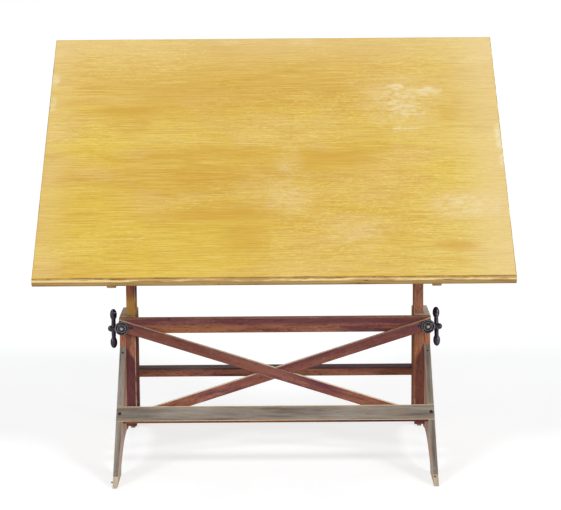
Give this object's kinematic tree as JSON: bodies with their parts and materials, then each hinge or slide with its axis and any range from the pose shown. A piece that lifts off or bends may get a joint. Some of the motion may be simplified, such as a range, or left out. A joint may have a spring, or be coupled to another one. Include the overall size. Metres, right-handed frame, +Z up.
{
  "type": "drafting table",
  "caption": "Wooden drafting table: a wide tilting board on two sliding posts held by wing-nut clamps, on splayed bracket legs joined by rails and crossed braces.",
  "frame": {"origin": "on the floor, under the middle of the base, midway between the four feet", "axes": "+X along the board's width to the seated user's right, -Y towards the user, +Z up"},
  "size_m": [1.219, 0.788, 1.0995],
  "materials": {
    "oak_top": "varnished",
    "stained_wood": "worn stain",
    "weathered_wood": "weathered",
    "bare_wood": "bare",
    "cast_iron": "blackened",
    "dark_steel": "tarnished"
  },
  "bodies": {
    "base": {"lower_front_rail": "weathered_wood", "front_foot_tip_left": "bare_wood", "front_foot_tip_right": "bare_wood", "back_foot_tip_left": "bare_wood", "back_foot_tip_right": "bare_wood", "leg_dowels": "bare_wood", "upright_left": "stained_wood", "upright_right": "stained_wood", "front_leg_left": "stained_wood", "front_leg_right": "stained_wood", "back_leg_left": "stained_wood", "back_leg_right": "stained_wood", "rear_guide_left": "stained_wood", "rear_guide_right": "stained_wood", "front_guide_left": "stained_wood", "front_guide_right": "stained_wood", "upper_front_rail": "stained_wood", "back_rail": "stained_wood", "cross_brace_a": "stained_wood", "cross_brace_b": "stained_wood", "rosette_left": "cast_iron", "rosette_right": "cast_iron", "height_clamp_bolts": "dark_steel", "height_washers": "dark_steel", "clamp_plates": "dark_steel", "rosette_bolts": "dark_steel", "brace_screws": "dark_steel", "brace_end_screws": "dark_steel", "lower_rail_screws": "dark_steel", "leg_nails": "dark_steel", "foot_nails": "dark_steel", "guide_screws": "dark_steel", "front_guide_screws": "dark_steel", "back_rail_screws": "dark_steel"},
    "lift": {"post_left": "stained_wood", "post_right": "stained_wood", "pivot_bolts": "dark_steel", "pivot_nuts": "dark_steel", "pivot_washers": "dark_steel", "tilt_clamp_bolts": "dark_steel", "tilt_washers": "dark_steel"},
    "board": {"drawing_board": "oak_top", "front_edge_strip": "stained_wood", "batten_left": "stained_wood", "batten_right": "stained_wood", "batten_screws": "dark_steel", "tilt_quadrant_left": "cast_iron", "tilt_quadrant_right": "cast_iron", "quadrant_screws": "dark_steel"},
    "height_nut_left": {"height_wing_nut_left": "cast_iron"},
    "height_nut_right": {"height_wing_nut_right": "cast_iron"},
    "tilt_nut_left": {"tilt_wing_nut_left": "cast_iron"},
    "tilt_nut_right": {"tilt_wing_nut_right": "cast_iron"}
  },
  "joints": [
    {"name": "lift", "type": "slide", "parent": "base", "child": "lift", "axis": [0, 0, 1], "range_m": [0, 0.2]},
    {"name": "tilt", "type": "hinge", "parent": "lift", "child": "board", "pos_m": [0, -0.0145, 0.735], "axis": [1, 0, 0], "range_deg": [-38.5, 31.5]},
    {"name": "height_nut_left", "type": "hinge", "parent": "base", "child": "height_nut_left", "pos_m": [-0.435, -0.0145, 0.341], "axis": [-1, 0, 0], "range_deg": [0, 360]},
    {"name": "height_nut_right", "type": "hinge", "parent": "base", "child": "height_nut_right", "pos_m": [0.435, -0.0145, 0.341], "axis": [1, 0, 0], "range_deg": [0, 360]},
    {"name": "tilt_nut_left", "type": "hinge", "parent": "lift", "child": "tilt_nut_left", "pos_m": [-0.355, -0.0145, 0.635], "axis": [1, 0, 0], "range_deg": [0, 360]},
    {"name": "tilt_nut_right", "type": "hinge", "parent": "lift", "child": "tilt_nut_right", "pos_m": [0.355, -0.0145, 0.635], "axis": [-1, 0, 0], "range_deg": [0, 360]}
  ]
}
